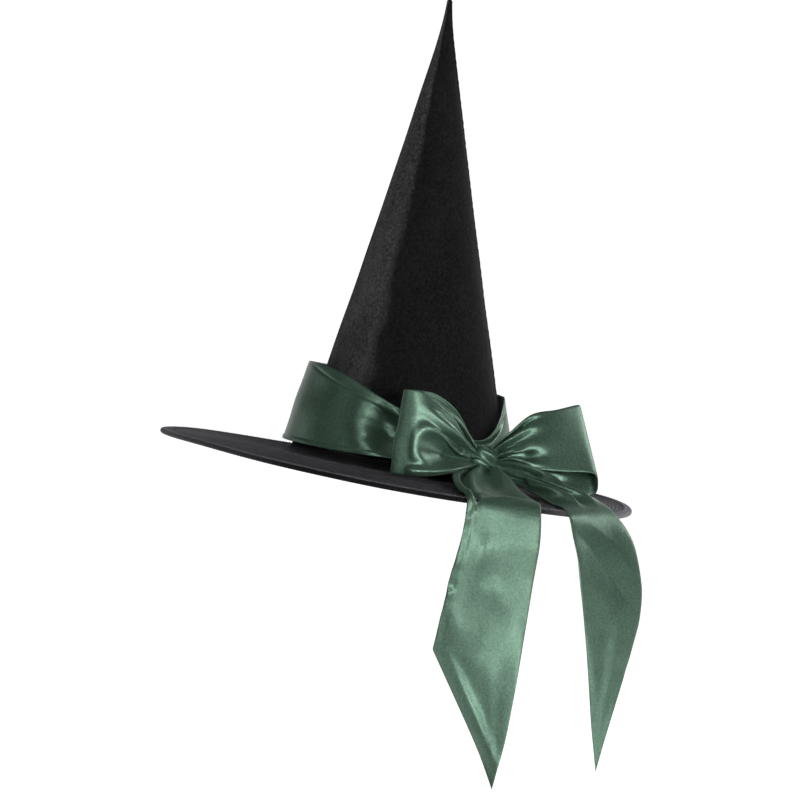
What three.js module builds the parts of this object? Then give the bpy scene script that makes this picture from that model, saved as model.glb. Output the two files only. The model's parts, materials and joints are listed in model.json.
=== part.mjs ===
// Pointed witch hat: a stiff velour cone on a wide wired brim, with a satin sash tied
// in a big bow behind the wearer's left ear. Its two tails hang over the brim edge.
//
// Millimetres, +Z up. The origin is the centre of the head opening. The wearer faces
// -Y and the wearer's left is +X. The hat sits tipped back, so its own plane is turned
// about X by HAT_TILT: everything in `hat` is made square to the brim, then tilted.
// Angles round the hat are counted from the front (-Y) towards the wearer's left (+X).

import * as THREE from "three";
import { mergeVertices } from "three/addons/utils/BufferGeometryUtils.js";

const HAT_TILT = THREE.MathUtils.degToRad(9.9);

// Crown: a leaning cone, a little narrower than it is long to suit a head.
const CROWN_HEIGHT = 426;
const CROWN_RADIUS = 97.2;
const CROWN_CONE_TOP = 415;
const CROWN_TIP_SOFTNESS = 3.6;
const CROWN_LEAN = 30.5;
const HEAD_NARROWING = 0.95;
const CROWN_BOTTOM = -2.4;
const COVER = 1.2;
const STIFFENER = 2.5;
const GAP = 0.35;

// Brim: two covers on a stiff core, bound round a wire at the edge.
const BRIM_RADIUS = 215.5;
const BRIM_SHIFT = -5.4;
const CORE_HALF = 0.5;
const BRIM_COVER = 0.65;
const NECK_FILLET = 12;
const BINDING_RADIUS = 2.3;
const BINDING_CLOTH = 0.6;
const BINDING_LIP = 7;
const WIRE_RADIUS = 0.6;
const JOINER_RADIUS = 1.35;
const STITCH_RADIUS = 0.35;

// Sash and bow.
const KNOT_ANGLE = THREE.MathUtils.degToRad(132.5);
const KNOT_RADIUS = 107.5;
const KNOT_HEIGHT = 27.6;
const SASH_TOP = 83.5;
const SASH_BOTTOM = 12;
const SASH_TOP_AT_KNOT = 41;
const SASH_BOTTOM_AT_KNOT = 16.5;
const CLOTH = 1.6;
const EDGE_WRAP = 4.9;
const FRONT_TAIL_ANGLE = THREE.MathUtils.degToRad(117.3);
const REAR_TAIL_ANGLE = THREE.MathUtils.degToRad(145.7);
const WRAP_START = THREE.MathUtils.degToRad(35);

const RING_STEPS = 40;

const BLACK_VELOUR = { color: 0x17171a, roughness: 0.95, metalness: 0 };
const BLACK_FELT = { color: 0x202022, roughness: 1, metalness: 0 };
const GREEN_SATIN = { color: 0x2c5a41, roughness: 0.4, metalness: 0 };
const GREY_FOAM = { color: 0x3a3a3c, roughness: 1, metalness: 0 };
const WHITE_TAPE = { color: 0xd8d8d4, roughness: 0.9, metalness: 0 };
const STEEL = { color: 0x8d8f92, roughness: 0.4, metalness: 1 };
const BLACK_THREAD = { color: 0x0f0f10, roughness: 0.8, metalness: 0 };

const vec = (x, y, z) => new THREE.Vector3(x, y, z);
const mix = THREE.MathUtils.lerp;
const clamp = THREE.MathUtils.clamp;
const UP_ON_HAT = vec(0, Math.sin(HAT_TILT), Math.cos(HAT_TILT));

// ---------------------------------------------------------------- shape helpers

// A closed solid from an index list: shared corners are merged, faces that collapse
// to a line are dropped, and the faces are turned to point out.
function solid(points, faces) {
  let geometry = new THREE.BufferGeometry().setFromPoints(points);
  geometry.setIndex(faces);
  geometry = mergeVertices(geometry);
  const index = geometry.index.array;
  const kept = [];
  for (let i = 0; i < index.length; i += 3) {
    const [a, b, c] = index.slice(i, i + 3);
    if (a !== b && b !== c && c !== a) {
      kept.push(a, b, c);
    }
  }
  if (signedVolume(geometry.attributes.position, kept) < 0) {
    kept.reverse();
  }
  geometry.setIndex(kept);
  geometry.computeVertexNormals();
  return geometry;
}

function signedVolume(position, index) {
  let volume = 0;
  for (let i = 0; i < index.length; i += 3) {
    const [a, b, c] = [0, 1, 2].map((n) => vec().fromBufferAttribute(position, index[i + n]));
    volume += a.dot(b.cross(c)) / 6;
  }
  return volume;
}

// Joins a row of closed sections. A ring closes on its first section; an open loft
// ends in flat caps, laddered from one face of the section to the other, and its two
// faces are split along the same diagonals, so that a twisted ribbon keeps its thickness.
function loft(sections, isRing) {
  const count = sections[0].length;
  const last = isRing ? sections.length : sections.length - 1;
  const faces = [];
  for (let i = 0; i < last; i += 1) {
    const here = i * count;
    const next = ((i + 1) % sections.length) * count;
    for (let j = 0; j < count; j += 1) {
      const k = (j + 1) % count;
      if (isRing || j < count / 2) {
        faces.push(here + j, here + k, next + k, here + j, next + k, next + j);
      } else {
        faces.push(here + j, here + k, next + j, here + k, next + k, next + j);
      }
    }
  }
  if (!isRing) {
    const end = (sections.length - 1) * count;
    for (let j = 0; j < count / 2 - 1; j += 1) {
      const a = count - 1 - j;
      faces.push(j, a, a - 1, j, a - 1, j + 1);
      faces.push(end + j, end + a - 1, end + a, end + j, end + j + 1, end + a - 1);
    }
  }
  return solid(sections.flat(), faces);
}

// A solid swept round the hat: outline(angle) gives the section's [radius, height].
function ring(outline, place = onHat) {
  const sections = [];
  for (let i = 0; i < RING_STEPS; i += 1) {
    const angle = (i / RING_STEPS) * 2 * Math.PI;
    sections.push(outline(angle).map(([radius, height]) => place(radius, angle, height)));
  }
  return loft(sections, true);
}

// A ribbon between two edges. rows is a list of [left, right] points along it; belly
// pushes its middle out along the cloth's normal.
function ribbon(rows, columns = 4, belly = () => 0) {
  const grid = rows.map(([left, right], i) => {
    const across = vec().subVectors(right, left);
    const before = rows[Math.max(i - 1, 0)];
    const after = rows[Math.min(i + 1, rows.length - 1)];
    const along = vec().addVectors(after[0], after[1]).sub(before[0]).sub(before[1]);
    const normal = across.clone().cross(along).normalize();
    const line = [];
    for (let j = 0; j <= columns; j += 1) {
      const s = j / columns;
      const lift = belly(i / (rows.length - 1)) * 4 * s * (1 - s);
      line.push([left.clone().addScaledVector(across, s).addScaledVector(normal, lift), normal]);
    }
    return line;
  });
  const half = CLOTH / 2;
  const sections = grid.map((line) => [
    ...line.map(([p, n]) => p.clone().addScaledVector(n, half)),
    ...line.map(([p, n]) => p.clone().addScaledVector(n, -half)).reverse(),
  ]);
  return loft(sections, false);
}

// ---------------------------------------------------------------- the hat's surfaces

function crownRadius(height) {
  const straight = CROWN_RADIUS * (1 - height / CROWN_CONE_TOP);
  return (straight + Math.hypot(straight, 2 * CROWN_TIP_SOFTNESS)) / 2;
}

// How far the brim edge hangs below its own plane: the sides droop, the left rear
// most under the bow, and the right rear curls up.
function edgeDrop(angle) {
  const side = Math.sin(angle);
  const rear = Math.max(0, -Math.cos(angle));
  return 4.5 * side ** 4 + 3.1 * side ** 3 + 11.7 * side * rear ** 2;
}

const brimShare = (radius) => clamp((radius - CROWN_RADIUS) / (BRIM_RADIUS - CROWN_RADIUS), 0, 1);

// A point on the hat, square to the brim: on the crown and the neck the rings follow
// the leaning oval cone, and further out they become the round, drooping brim.
function onHat(radius, angle, height) {
  const share = brimShare(radius);
  const lean = (-CROWN_LEAN * Math.max(height, 0)) / CROWN_HEIGHT;
  const centre = mix(lean, BRIM_SHIFT, share);
  const narrowing = mix(HEAD_NARROWING, 1, Math.max(share, clamp(height / CROWN_HEIGHT, 0, 1)));
  const drop = edgeDrop(angle) * share ** 1.5;
  return vec(
    radius * Math.sin(angle) * narrowing,
    centre - radius * Math.cos(angle),
    height - drop,
  );
}

// From the hat's own plane to the upright frame.
const upright = (point) => point.clone().applyAxisAngle(vec(1, 0, 0), -HAT_TILT);

// Height of the brim's middle plane at a place given square to the brim.
function brimHeight(x, y) {
  const radius = Math.hypot(x, y - BRIM_SHIFT);
  const angle = Math.atan2(x, BRIM_SHIFT - y);
  return -edgeDrop(angle) * brimShare(radius) ** 1.5;
}

// ---------------------------------------------------------------- crown

// A cone shell from `outer` to `inner` millimetres inside the crown's surface. All the
// shells share their ring heights, and each ends in its own rounded tip.
function crownShell(outer, inner) {
  const rows = 9;
  const skin = (inset) => {
    const line = [];
    for (let i = 0; i <= rows; i += 1) {
      const height = mix(CROWN_BOTTOM, 396, 1 - (1 - i / rows) ** 1.3);
      line.push([crownRadius(height) - inset, height]);
    }
    const top = CROWN_HEIGHT - 3 - 5 * inset;
    const cap = crownRadius(top) - inset;
    line.push([cap, top], [0.7 * cap, top + 0.7 * cap], [0, top + cap]);
    return line;
  };
  return ring(() => [...skin(outer), ...skin(inner).reverse()], onCrown);
}

// The crown's rings keep the leaning cone's centre even where they are wide.
function onCrown(radius, angle, height) {
  const lean = (-CROWN_LEAN * Math.max(height, 0)) / CROWN_HEIGHT;
  const narrowing = mix(HEAD_NARROWING, 1, clamp(height / CROWN_HEIGHT, 0, 1));
  return vec(radius * Math.sin(angle) * narrowing, lean - radius * Math.cos(angle), height);
}

// The panel's turned-in edges, a strip down the inside of the back.
function seamAllowance() {
  const inset = COVER + STIFFENER + 2 * GAP + CLOTH / 2;
  const rows = [];
  for (let i = 0; i <= 8; i += 1) {
    const height = mix(44, 300, i / 8);
    const radius = crownRadius(height) - inset - 0.6;
    const spread = 6 / radius;
    rows.push([
      onCrown(radius, Math.PI - spread, height),
      onCrown(radius, Math.PI + spread, height),
    ]);
  }
  return ribbon(rows, 2);
}

function sweatband() {
  const inset = COVER + STIFFENER + 2 * GAP;
  const wall = (more, height) => [crownRadius(height) - inset - more, height];
  return ring(() => [wall(0, 1), wall(0, 33), wall(COVER, 33), wall(COVER, 1)], onCrown);
}

// ---------------------------------------------------------------- brim

// The neck's curve, from the flat of the brim up to the crown, raised by `offset`.
function neckCurve(offset) {
  const centre = [CROWN_RADIUS + NECK_FILLET + 2.6, CORE_HALF + NECK_FILLET];
  const radius = NECK_FILLET - offset;
  const line = [];
  for (let i = 0; i <= 5; i += 1) {
    const turn = THREE.MathUtils.degToRad(mix(0, 80, i / 5));
    line.push([centre[0] - radius * Math.sin(turn), centre[1] - radius * Math.cos(turn)]);
  }
  return line;
}

const againstCrown = (height) => [crownRadius(height) + GAP, height];

// Rings out to the edge, so that every layer takes the same droop.
function flatOut(height, edge) {
  const start = CROWN_RADIUS + NECK_FILLET + 2.6;
  return [0.25, 0.5, 0.75, 1].map((share) => [mix(start, edge, share), height]);
}

function brimCore() {
  const edge = BRIM_RADIUS - 2 * BINDING_RADIUS - GAP;
  const neck = neckCurve(0);
  const top = neck[neck.length - 1][1];
  const outline = [...flatOut(CORE_HALF, edge).reverse(), ...neck, againstCrown(top)];
  outline.push(againstCrown(-CORE_HALF), neck[0].map((n, i) => (i ? -CORE_HALF : n)));
  outline.push(...flatOut(-CORE_HALF, edge));
  return ring(() => outline);
}

function brimTopCover() {
  const edge = BRIM_RADIUS - 2 * BINDING_RADIUS;
  const low = GAP;
  const high = GAP + BRIM_COVER;
  const outline = [...flatOut(CORE_HALF + high, edge).reverse(), ...neckCurve(high)];
  outline.push(...neckCurve(low).reverse(), ...flatOut(CORE_HALF + low, edge));
  return ring(() => outline);
}

function brimUnderCover() {
  const edge = BRIM_RADIUS - 2 * BINDING_RADIUS;
  const high = -CORE_HALF - GAP;
  const low = high - BRIM_COVER;
  const flat = CROWN_RADIUS + NECK_FILLET + 2.6;
  const outline = [...flatOut(high, edge).reverse(), [flat, high], againstCrown(high)];
  outline.push(againstCrown(low), [flat, low], ...flatOut(low, edge));
  return ring(() => outline);
}

// Cloth folded round the edge: an arc outside, a lip above and a lip below.
function edgeBinding() {
  const centre = BRIM_RADIUS - BINDING_RADIUS;
  const arc = (radius) => {
    const line = [[centre - BINDING_LIP, radius]];
    for (let i = 0; i <= 6; i += 1) {
      const turn = mix(Math.PI / 2, -Math.PI / 2, i / 6);
      line.push([centre + radius * Math.cos(turn), radius * Math.sin(turn)]);
    }
    line.push([centre - BINDING_LIP, -radius]);
    return line;
  };
  const outline = [...arc(BINDING_RADIUS), ...arc(BINDING_RADIUS - BINDING_CLOTH).reverse()];
  return ring(() => outline);
}

// A round thread or wire laid in a ring at [radius, height].
function roundRing(radius, height, thickness, sides) {
  const outline = [];
  for (let i = 0; i < sides; i += 1) {
    const turn = (i / sides) * 2 * Math.PI;
    outline.push([radius + thickness * Math.cos(turn), height + thickness * Math.sin(turn)]);
  }
  return ring(() => outline);
}

// The crimped sleeve over the wire's two ends, on the straight between two ring steps
// at the back.
function wireJoiner() {
  const step = (2 * Math.PI) / RING_STEPS;
  const centre = BRIM_RADIUS - BINDING_RADIUS;
  const circle = (radius, share) => {
    const line = [];
    for (let i = 0; i < 8; i += 1) {
      const turn = (i / 8) * 2 * Math.PI;
      const place = [centre + radius * Math.cos(turn), radius * Math.sin(turn)];
      const [from, to] = [0, step].map((more) => onHat(place[0], Math.PI + more, place[1]));
      line.push(from.lerp(to, share));
    }
    return line;
  };
  const [near, far] = [0.3, 0.7];
  const outside = [circle(JOINER_RADIUS, near), circle(JOINER_RADIUS, far)];
  const bore = [circle(WIRE_RADIUS + 0.3, far), circle(WIRE_RADIUS + 0.3, near)];
  return loft([...outside, ...bore], true);
}

// ---------------------------------------------------------------- sash

// 1 at the knot, falling to 0 round the hat; the sash gathers faster behind the knot.
function gather(angle) {
  let away = angle - KNOT_ANGLE;
  away = Math.atan2(Math.sin(away), Math.cos(away));
  const reach = THREE.MathUtils.degToRad(away < 0 ? 100 : 50);
  return Math.abs(away) < reach ? Math.cos((away / reach) * (Math.PI / 2)) ** 2 : 0;
}

const sashTop = (angle) => mix(SASH_TOP, SASH_TOP_AT_KNOT, gather(angle));
const sashBottom = (angle) => mix(SASH_BOTTOM, SASH_BOTTOM_AT_KNOT, gather(angle));

// The sash stands off the cone, furthest at the front, and is pulled in at the knot.
function sashStandoff(angle) {
  return 6.5 + 8 * ((1 + Math.cos(angle)) / 2) ** 1.5 - 2.5 * gather(angle);
}

function sash() {
  return ring((angle) => {
    const line = [0, 1 / 3, 2 / 3, 1].map((share) => {
      const height = mix(sashBottom(angle), sashTop(angle), share);
      return [crownRadius(height) + sashStandoff(angle), height];
    });
    return [...line, ...line.map(([radius, height]) => [radius + CLOTH, height]).reverse()];
  }, onCrown);
}

// A thread bar from the crown to the back of the sash.
function bandTack(angle) {
  const height = 48;
  const from = onCrown(crownRadius(height) + GAP, angle, height);
  const to = onCrown(crownRadius(height) + sashStandoff(angle) - GAP, angle, height);
  const along = vec().subVectors(to, from);
  const geometry = new THREE.CylinderGeometry(0.6, 0.6, along.length(), 8);
  const turn = new THREE.Quaternion().setFromUnitVectors(vec(0, 1, 0), along.normalize());
  geometry.applyQuaternion(turn);
  geometry.translate(...from.add(to).multiplyScalar(0.5).toArray());
  return geometry;
}

// ---------------------------------------------------------------- bow, upright frame

const knotCentre = upright(onCrown(KNOT_RADIUS, KNOT_ANGLE, KNOT_HEIGHT));

function knot() {
  const geometry = new THREE.SphereGeometry(1, 14, 10);
  geometry.scale(9.5, 8.4, 12.2);
  geometry.rotateZ(KNOT_ANGLE);
  geometry.translate(...knotCentre.toArray());
  return geometry;
}

// A loop leaves the knot, swings out, turns at its tip and comes back nearer the crown.
// Its cloth stands upright and is gathered at the knot. `stagger` raises the outer of
// its two panels and lowers the inner one.
function bowLoop({ heading, length, depth, rise, halfWidth, lean, stagger }) {
  const out = vec(Math.sin(heading), -Math.cos(heading), 0);
  const aside = vec(-out.y, out.x, 0);
  if (aside.dot(knotCentre) < 0) {
    aside.negate();
  }
  const start = 0.045;
  const steps = 22;
  const rows = [];
  for (let i = 0; i <= steps; i += 1) {
    const t = mix(start, 1 - start, i / steps);
    const reach = Math.sin(Math.PI * t);
    const swing = Math.sin(2 * Math.PI * t);
    const open = reach ** 0.6;
    const centre = knotCentre.clone().addScaledVector(out, length * reach);
    centre.addScaledVector(aside, depth * swing);
    centre.z += rise * open + stagger * swing;
    const half = vec(0, 0, mix(10.5, halfWidth, open)).addScaledVector(out, lean * open);
    rows.push([vec().subVectors(centre, half), vec().addVectors(centre, half)]);
  }
  return ribbon(rows, 3);
}

// The stretch of a tail from the knot across the brim. It comes down off the knot,
// widens and lies flat out to the top of the edge.
function tailOnBrim(angle, halfWidth) {
  const aside = Math.sign(angle - KNOT_ANGLE) * 11;
  const start = onCrown(KNOT_RADIUS + 7, KNOT_ANGLE, 0);
  start.addScaledVector(vec(Math.cos(KNOT_ANGLE), Math.sin(KNOT_ANGLE), 0), aside);
  const end = onHat(BRIM_RADIUS - BINDING_RADIUS, angle, 0);
  const side = vec(Math.cos(angle), Math.sin(angle), 0);
  const rows = [];
  for (let i = 0; i <= 7; i += 1) {
    const share = i / 7;
    const centre = vec().lerpVectors(start, end, share);
    const half = mix(9, halfWidth, Math.sin((share * Math.PI) / 2));
    const lift = mix(4, 0, Math.sin((Math.min(share * 2, 1) * Math.PI) / 2));
    const clear = EDGE_WRAP + 0.2;
    const edge = [-1, 1].map((sign) => {
      const point = centre.clone().addScaledVector(side, sign * half);
      point.z = brimHeight(centre.x, centre.y) + clear + lift;
      return upright(point);
    });
    rows.push(edge);
  }
  return ribbon(rows, 4);
}

// The stretch that hangs: it wraps the brim edge from just past its top, then falls
// through the given [left, right] points, ending in a slanting point.
function hangingTail(angle, halfWidth, falls) {
  const centre = upright(onHat(BRIM_RADIUS - BINDING_RADIUS, angle, 0));
  const out = upright(vec(Math.sin(angle), -Math.cos(angle), 0));
  const side = upright(vec(Math.cos(angle), Math.sin(angle), 0));
  const rows = [];
  for (let i = 0; i <= 2; i += 1) {
    const turn = mix(WRAP_START, Math.PI / 2, i / 2);
    const middle = centre.clone().addScaledVector(out, EDGE_WRAP * Math.sin(turn));
    middle.addScaledVector(UP_ON_HAT, EDGE_WRAP * Math.cos(turn));
    rows.push([-1, 1].map((sign) => middle.clone().addScaledVector(side, sign * halfWidth)));
  }
  rows.push(...falls);
  return ribbon(rows, 4);
}

// Tail edges, upright: each row is [left point, right point], from the brim down.
const FRONT_TAIL_FALLS = [
  [vec(208, 46, -60), vec(180, 119, -62)],
  [vec(206, 36, -105), vec(186, 112, -112)],
  [vec(202, 27, -150), vec(190, 105, -162)],
  [vec(199, 44, -188), vec(191, 98, -202)],
  [vec(196, 62, -228), vec(191, 91, -238)],
  [vec(193, 77, -268), vec(192, 83, -271)],
];
const REAR_TAIL_FALLS = [
  [vec(152, 157, -66), vec(111, 209, -72)],
  [vec(152, 160, -104), vec(112, 214, -112)],
  [vec(150, 163, -146), vec(118, 211, -146)],
  [vec(146, 166, -190), vec(126, 199, -192)],
  [vec(142, 169, -228), vec(132, 186, -230)],
  [vec(138, 172, -259), vec(136, 177, -260)],
];

// ---------------------------------------------------------------- care label

const LABEL = { width: 26, drop: 18, thickness: 0.6 };
const labelHinge = (() => {
  const height = 35;
  const inset = COVER + STIFFENER + 2 * GAP + COVER + 1.6;
  return upright(onCrown(crownRadius(height) - inset, Math.PI, height));
})();

function careLabel() {
  const geometry = new THREE.BoxGeometry(LABEL.width, LABEL.thickness, LABEL.drop);
  geometry.translate(labelHinge.x, labelHinge.y, labelHinge.z - LABEL.drop / 2 - 0.5);
  return geometry;
}

// ---------------------------------------------------------------- assembly

function piece(name, geometry, finish) {
  const mesh = new THREE.Mesh(geometry, new THREE.MeshStandardMaterial(finish));
  mesh.name = name;
  return mesh;
}

const hat = new THREE.Group();
hat.rotation.x = -HAT_TILT;
hat.add(
  piece("crown_cover", crownShell(0, COVER), BLACK_VELOUR),
  piece("crown_stiffener", crownShell(COVER + GAP, COVER + GAP + STIFFENER), GREY_FOAM),
  piece("crown_seam_allowance", seamAllowance(), BLACK_FELT),
  piece("brim_top_cover", brimTopCover(), BLACK_VELOUR),
  piece("brim_core", brimCore(), BLACK_FELT),
  piece("brim_under_cover", brimUnderCover(), BLACK_VELOUR),
  piece("brim_edge_binding", edgeBinding(), BLACK_VELOUR),
  piece("brim_edge_wire", roundRing(BRIM_RADIUS - BINDING_RADIUS, 0, WIRE_RADIUS, 6), STEEL),
  piece("wire_joiner", wireJoiner(), STEEL),
  piece("sweatband", sweatband(), BLACK_FELT),
  piece("hat_band", sash(), GREEN_SATIN),
);
hat.add(
  piece(
    "brim_edge_stitching",
    roundRing(BRIM_RADIUS - BINDING_RADIUS - BINDING_LIP + 1.5, BINDING_RADIUS + 0.7, STITCH_RADIUS, 5),
    BLACK_THREAD,
  ),
);
const TACK_ANGLES = [25, 95, 205, 290];
TACK_ANGLES.forEach((degrees, i) => {
  const tack = bandTack(THREE.MathUtils.degToRad(degrees));
  hat.add(piece(`band_tack_${i + 1}`, tack, BLACK_THREAD));
});

const witchHat = new THREE.Group();
witchHat.add(
  hat,
  piece("bow_knot", knot(), GREEN_SATIN),
  piece(
    "bow_loop_front",
    bowLoop({ heading: 0.7, length: 108, depth: 14, rise: 27, halfWidth: 38, lean: -4, stagger: -4 }),
    GREEN_SATIN,
  ),
  piece(
    "bow_loop_rear",
    bowLoop({ heading: 3.61, length: 114, depth: 15, rise: 9.3, halfWidth: 37, lean: -3, stagger: 9 }),
    GREEN_SATIN,
  ),
  piece("tail_front_on_brim", tailOnBrim(FRONT_TAIL_ANGLE, 34), GREEN_SATIN),
  piece("tail_front", hangingTail(FRONT_TAIL_ANGLE, 36, FRONT_TAIL_FALLS), GREEN_SATIN),
  piece("tail_rear_on_brim", tailOnBrim(REAR_TAIL_ANGLE, 32), GREEN_SATIN),
  piece("tail_rear", hangingTail(REAR_TAIL_ANGLE, 34, REAR_TAIL_FALLS), GREEN_SATIN),
  piece("care_label", careLabel(), WHITE_TAPE),
);

export default witchHat;
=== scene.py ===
"""Witch hat: black velour crown and stitched brim, dark green satin sash and bow.

Metres, in the row frame: +Z up, the wearer faces -Y, the wearer's left is +X, and the
origin is the centre of the head opening. Angles round the hat are counted from the
front (-Y) towards the wearer's left (+X). Points of a ribbon are written in
millimetres, as a cutter would, and between() turns them into metres.
"""

import json
import math

import bpy
import numpy as np
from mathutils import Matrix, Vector


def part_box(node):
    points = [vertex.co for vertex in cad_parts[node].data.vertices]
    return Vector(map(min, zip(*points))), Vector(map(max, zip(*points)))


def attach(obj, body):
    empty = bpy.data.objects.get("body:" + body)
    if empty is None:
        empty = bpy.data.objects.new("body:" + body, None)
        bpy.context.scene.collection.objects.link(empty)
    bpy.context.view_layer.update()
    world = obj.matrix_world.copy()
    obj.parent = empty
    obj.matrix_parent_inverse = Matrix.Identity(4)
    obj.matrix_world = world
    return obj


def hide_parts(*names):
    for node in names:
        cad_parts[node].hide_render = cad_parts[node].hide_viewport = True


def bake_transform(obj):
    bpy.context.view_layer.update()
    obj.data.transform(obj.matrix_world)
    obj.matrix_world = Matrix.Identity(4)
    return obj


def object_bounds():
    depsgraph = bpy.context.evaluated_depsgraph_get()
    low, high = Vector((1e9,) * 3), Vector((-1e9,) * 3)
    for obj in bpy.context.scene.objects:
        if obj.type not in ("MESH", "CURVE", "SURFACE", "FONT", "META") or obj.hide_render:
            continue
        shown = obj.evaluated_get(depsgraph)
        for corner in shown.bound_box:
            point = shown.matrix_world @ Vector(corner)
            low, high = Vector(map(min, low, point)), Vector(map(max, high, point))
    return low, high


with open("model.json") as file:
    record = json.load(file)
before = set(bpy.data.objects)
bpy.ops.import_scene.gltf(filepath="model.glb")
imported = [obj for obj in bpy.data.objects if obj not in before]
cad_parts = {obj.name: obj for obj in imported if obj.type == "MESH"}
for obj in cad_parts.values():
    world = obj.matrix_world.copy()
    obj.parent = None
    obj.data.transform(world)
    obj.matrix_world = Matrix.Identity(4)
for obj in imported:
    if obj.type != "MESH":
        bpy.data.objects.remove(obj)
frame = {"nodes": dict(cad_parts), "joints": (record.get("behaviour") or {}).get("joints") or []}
CAD_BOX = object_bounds()
JOINTS = {joint["name"]: joint for joint in frame["joints"]}
TAU = 2 * math.pi

# ------------------------------------------------------------------ the hat's sizes

TILT = math.radians(9.9)
CROWN_HEIGHT = 0.426
CROWN_RADIUS = 0.0972
CROWN_CONE_TOP = 0.415
CROWN_TIP_SOFTNESS = 0.0036
CROWN_LEAN = 0.0305
CROWN_FOOT = -0.0024
CROWN_LAST_RING = 0.4245
CROWN_HOLLOW_TOP = 0.405
FOAM_TOP = 0.398
HEAD_NARROWING = 0.95
BRIM_RADIUS = 0.2155
BRIM_SHIFT = -0.0054
BRIM_SKIN = 0.0015
BRIM_CORE_FACE = 0.00085
BINDING_RADIUS = 0.0023
BINDING_LIP = 0.007
NECK_FILLET = 0.012
NECK_FOOT = CROWN_RADIUS + NECK_FILLET + 0.0026
COVER = 0.0012
WALL = 0.0041
PIECE_GAP = 0.0004
SASH_TOP, SASH_BOTTOM = 0.0835, 0.012
SASH_TOP_AT_KNOT, SASH_BOTTOM_AT_KNOT = 0.041, 0.0165
KNOT_ANGLE = math.radians(132.5)
RIBBON_WIDTH = 0.077
STITCH_PITCH = 0.0034
STITCH_FIRST = 0.121
STITCH_LAST = 0.2045
STITCH_LENGTH = 0.0032
STITCH_COUNTED_AT = 0.165
EDGE_STITCH_LENGTH = 0.0034
THREAD_RADIUS = 0.00032


def crown_radius(height):
    """The crown's plain cone with its tip rounded."""
    straight = CROWN_RADIUS * (1 - height / CROWN_CONE_TOP)
    return (straight + np.hypot(straight, 2 * CROWN_TIP_SOFTNESS)) / 2


def edge_drop(angle):
    """How far the brim's edge sags below its own plane, most at the wearer's left."""
    side = np.sin(angle)
    rear = np.maximum(0, -np.cos(angle))
    return 0.0045 * side**4 + 0.0031 * side**3 + 0.0117 * side * rear**2


def brim_share(radius):
    return np.clip((radius - CROWN_RADIUS) / (BRIM_RADIUS - CROWN_RADIUS), 0, 1)


def upright(points):
    """From the hat's own plane to the row frame."""
    x, y, z = np.moveaxis(points, -1, 0)
    c, s = math.cos(TILT), math.sin(TILT)
    return np.stack([x, y * c + z * s, -y * s + z * c], -1)


def on_crown(radius, angle, height):
    """A point of the crown, which is an oval at the head and round at its tip."""
    share = np.clip(height / CROWN_HEIGHT, 0, 1)
    narrowing = HEAD_NARROWING + (1 - HEAD_NARROWING) * share
    x = radius * np.sin(angle) * narrowing
    y = -CROWN_LEAN * np.maximum(height, 0) / CROWN_HEIGHT - radius * np.cos(angle)
    return upright(np.stack(np.broadcast_arrays(x, y, height), -1))


def on_hat(radius, angle, height):
    """A point of the brim, which passes from the crown's oval to its own round edge."""
    share = brim_share(radius)
    lean = -CROWN_LEAN * np.maximum(height, 0) / CROWN_HEIGHT
    centre = lean + (BRIM_SHIFT - lean) * share
    up = np.maximum(share, np.clip(height / CROWN_HEIGHT, 0, 1))
    x = radius * np.sin(angle) * (HEAD_NARROWING + (1 - HEAD_NARROWING) * up)
    y = centre - radius * np.cos(angle)
    z = height - edge_drop(angle) * share**1.5
    return upright(np.stack(np.broadcast_arrays(x, y, z), -1))


# ------------------------------------------------------------------ number helpers


def smooth(low, high, x):
    t = np.clip((x - low) / (high - low), 0, 1)
    return t * t * (3 - 2 * t)


def bump(x, centre, width):
    return np.exp(-(((x - centre) / width) ** 2))


def turned(angle, start):
    """How far angle is from start, -pi to pi."""
    return np.arctan2(np.sin(angle - start), np.cos(angle - start))


def wander(x, y, seed, octaves=4):
    """Smooth seeded unevenness of about -1 to 1, from a few crossing waves."""
    rng = np.random.default_rng(seed)
    total = np.zeros(np.broadcast(x, y).shape)
    for i in range(octaves):
        scale = 1.7**i
        for _ in range(3):
            a, b = rng.normal(size=2) * scale
            total = total + np.sin(a * x + b * y + rng.uniform(0, TAU)) / (3 * scale)
    return total


def spline(points, count):
    """count rows on a smooth curve through the rows of points (Catmull-Rom)."""
    points = np.asarray(points, float)
    last = len(points) - 1
    where = np.linspace(0, 1, count) * last
    i = np.minimum(where.astype(int), last - 1)
    t = (where - i).reshape((-1,) + (1,) * (points.ndim - 1))
    before, after = 2 * points[:1] - points[1:2], 2 * points[-1:] - points[-2:-1]
    padded = np.concatenate([before, points, after])
    a, b, c, d = padded[i], padded[i + 1], padded[i + 2], padded[i + 3]
    cubic = 2 * b + (c - a) * t + (2 * a - 5 * b + 4 * c - d) * t**2 + (3 * b - a - 3 * c + d) * t**3
    return cubic / 2


def grid_normals(grid, ring):
    """Unit normals of a grid of points; ring says that its rows close on themselves."""
    if ring:
        along = np.roll(grid, -1, 0) - np.roll(grid, 1, 0)
    else:
        along = np.gradient(grid, axis=0)
    normal = np.cross(along, np.gradient(grid, axis=1))
    return normal / np.maximum(np.linalg.norm(normal, axis=-1, keepdims=True), 1e-12)


# ------------------------------------------------------------------ mesh helpers


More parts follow.
